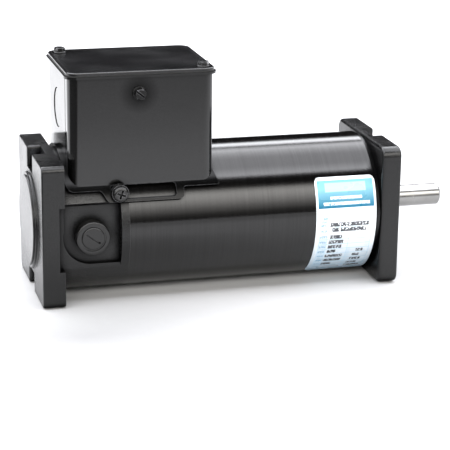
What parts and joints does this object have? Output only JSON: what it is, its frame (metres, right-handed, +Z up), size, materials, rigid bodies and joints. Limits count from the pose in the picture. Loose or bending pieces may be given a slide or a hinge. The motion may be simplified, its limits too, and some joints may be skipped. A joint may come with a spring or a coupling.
{
  "type": "dc motor",
  "caption": "Black permanent-magnet DC motor with a tube frame, square end bells, side brush caps, a plain round output shaft and a conduit box on top.",
  "frame": {"origin": "on the shaft axis, in the plane of the drive-end face", "axes": "+X along the output shaft away from the motor, +Z up through the conduit box, -Y the side with the rating label"},
  "size_m": [0.2463, 0.083, 0.1317],
  "materials": {
    "cast_black": "semi-gloss black paint over a fine cast grain",
    "gloss_black": "gloss black paint over turned steel",
    "box_black": "semi-gloss black paint on sheet steel",
    "saddle_black": "satin black",
    "screw_black": "black oxide",
    "zinc_steel": "zinc plated",
    "ferrite": "matt ferrite",
    "shaft_steel": "ground",
    "spring_steel": "oiled",
    "lamination_steel": "stacked laminations",
    "copper": null,
    "phenolic": "moulded, slight sheen",
    "bearing_steel": "polished",
    "cage_steel": "pressed",
    "seal_rubber": "matt",
    "carbon": "carbon graphite",
    "brass": "bright",
    "lead_red": "insulated wire",
    "lead_black": "insulated wire",
    "label": "printed film"
  },
  "bodies": {
    "housing": {"rear_endbell": "cast_black", "front_endbell": "cast_black", "frame_tube": "gloss_black", "conduit_saddle": "saddle_black", "conduit_box": "box_black", "conduit_lid": "box_black", "knockout_discs": "box_black", "tab_washers": "screw_black", "tab_screws": "screw_black", "lid_screws": "screw_black", "ground_screw": "screw_black", "saddle_screws": "zinc_steel", "through_bolts": "zinc_steel", "bolt_washers": "zinc_steel", "magnets": "ferrite", "front_bearing_outer": "bearing_steel", "front_bearing_shields": "cage_steel", "rear_bearing_outer": "bearing_steel", "rear_bearing_shields": "cage_steel", "spring_washer": "spring_steel", "shaft_seal": "seal_rubber", "brush_holder_near": "phenolic", "brush_holder_far": "phenolic", "brush_spring_near": "spring_steel", "brush_spring_far": "spring_steel", "brush_cap_near": "phenolic", "brush_cap_far": "phenolic", "brush_terminal_near": "brass", "brush_terminal_far": "brass", "lid_gasket": "seal_rubber", "lead_grommet": "seal_rubber", "lead_near": "lead_red", "lead_far": "lead_black", "lead_terminals": "brass", "rating_label": "label"},
    "rotor": {"shaft": "shaft_steel", "shaft_circlip": "spring_steel", "armature_core": "lamination_steel", "armature_windings": "copper", "commutator_bars": "copper", "commutator_hub": "phenolic", "front_bearing_inner": "bearing_steel", "rear_bearing_inner": "bearing_steel"},
    "front_ball_set": {"front_bearing_balls": "bearing_steel", "front_bearing_cage": "cage_steel"},
    "rear_ball_set": {"rear_bearing_balls": "bearing_steel", "rear_bearing_cage": "cage_steel"},
    "brush_near_body": {"brush_near": "carbon"},
    "brush_far_body": {"brush_far": "carbon"}
  },
  "joints": [
    {"name": "rotor_spin", "type": "hinge", "parent": "housing", "child": "rotor", "pos_m": [0, 0, 0], "axis": [1, 0, 0], "continuous": true},
    {"name": "front_balls_spin", "type": "hinge", "parent": "housing", "child": "front_ball_set", "pos_m": [-0.0115, 0, 0], "axis": [1, 0, 0], "continuous": true},
    {"name": "rear_balls_spin", "type": "hinge", "parent": "housing", "child": "rear_ball_set", "pos_m": [-0.196, 0, 0], "axis": [1, 0, 0], "continuous": true},
    {"name": "brush_near_slide", "type": "slide", "parent": "housing", "child": "brush_near_body", "axis": [0, -1, 0], "range_m": [0, 0.0025], "deforming": ["brush_spring_near"]},
    {"name": "brush_far_slide", "type": "slide", "parent": "housing", "child": "brush_far_body", "axis": [0, 1, 0], "range_m": [0, 0.0025], "deforming": ["brush_spring_far"]}
  ],
  "couplings": [
    {"joint": "front_balls_spin", "follows": "rotor_spin", "ratio": 0.3808},
    {"joint": "rear_balls_spin", "follows": "rotor_spin", "ratio": 0.381}
  ]
}
